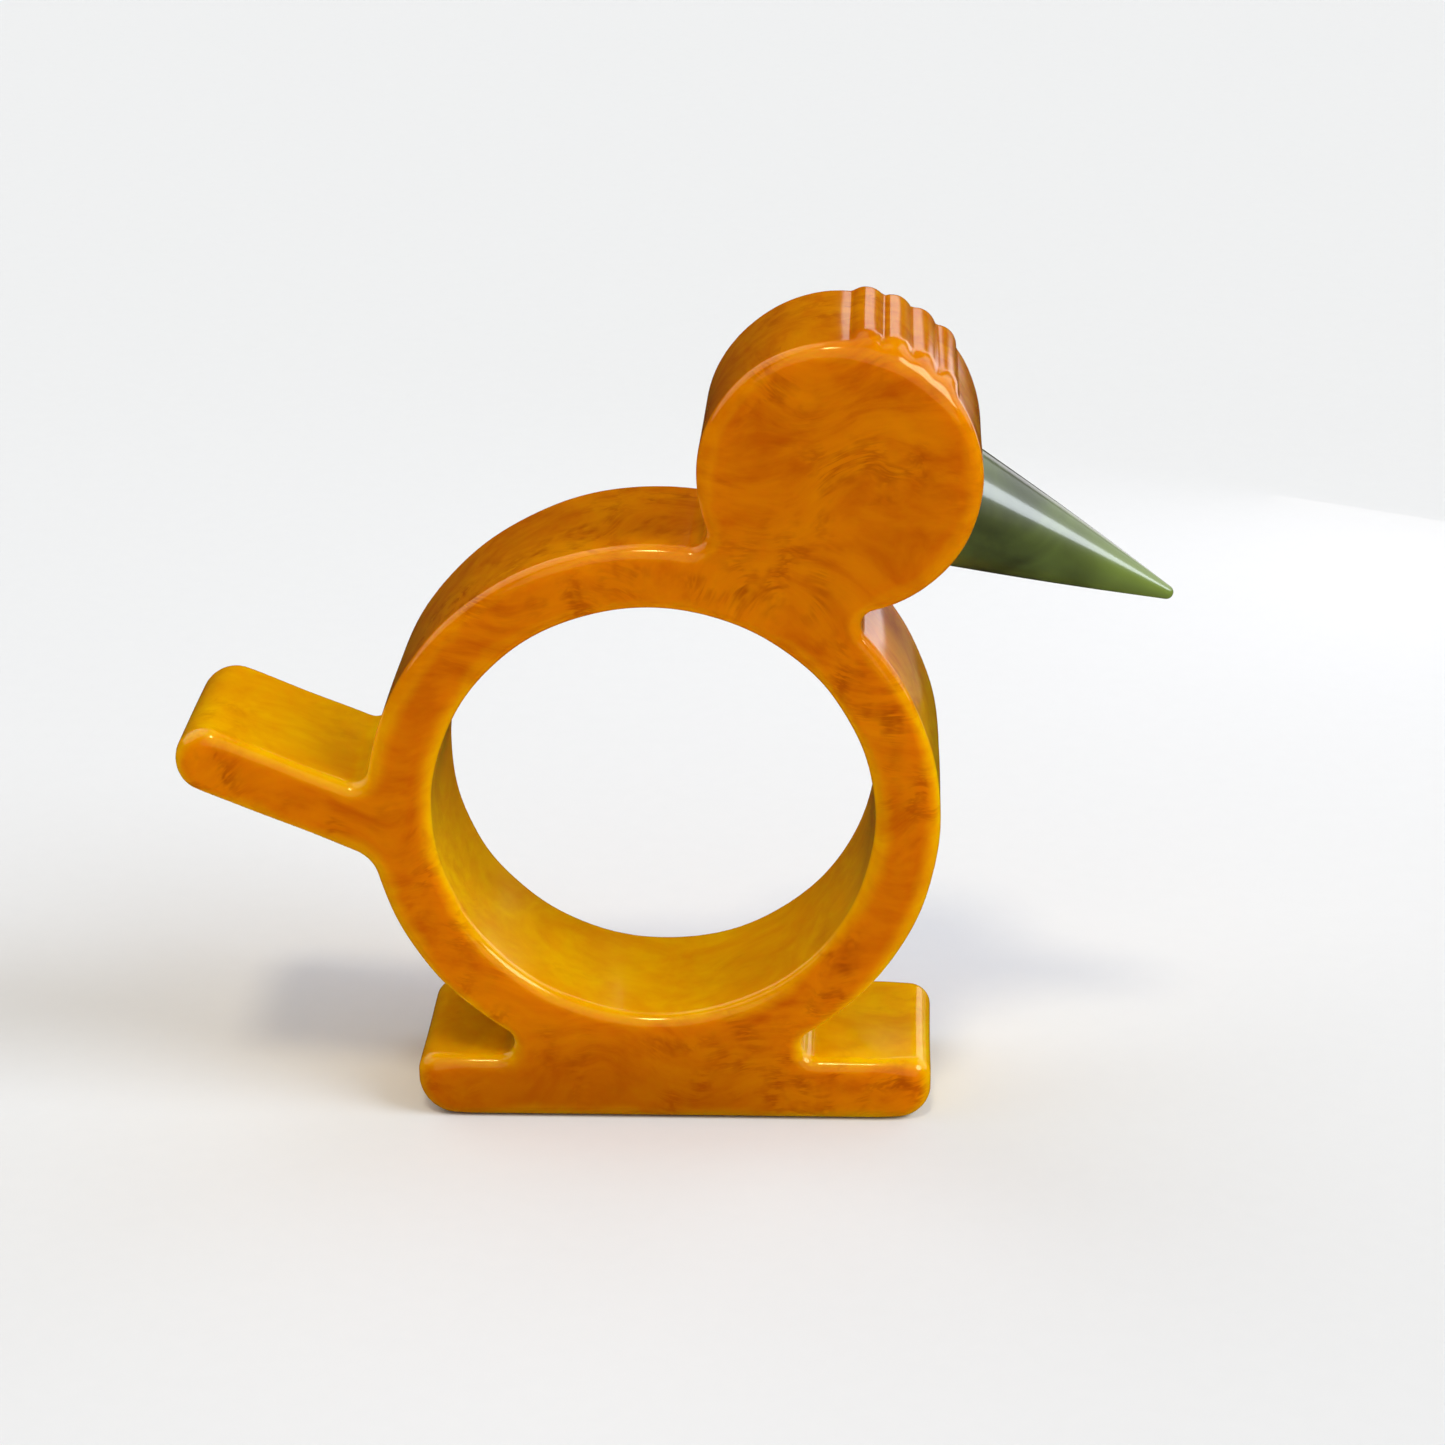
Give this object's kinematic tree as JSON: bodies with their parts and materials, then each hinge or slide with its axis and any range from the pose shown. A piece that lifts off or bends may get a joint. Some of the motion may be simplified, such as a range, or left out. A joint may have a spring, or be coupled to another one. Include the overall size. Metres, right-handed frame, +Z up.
{
  "type": "bird napkin ring",
  "caption": "Bird-shaped napkin ring of marbled cast resin: round napkin bore, disc head with a waved comb, straight tail, flat foot and a turned green beak.",
  "frame": {"origin": "on the resting plane of the foot, straight below the centre of the napkin bore, half way through the sheet's thickness", "axes": "+X towards the beak, +Y along the napkin bore away from the front face, +Z up"},
  "size_m": [0.0851, 0.0166, 0.0716],
  "materials": {
    "amber_resin": "cast phenolic resin, marbled amber, tumbled and polished",
    "green_resin": "cast phenolic resin, dark olive green, turned and polished",
    "cement": "cured clear cement"
  },
  "bodies": {
    "root": {"bird_body": "amber_resin", "beak": "green_resin", "beak_cement": "cement"}
  },
  "joints": []
}
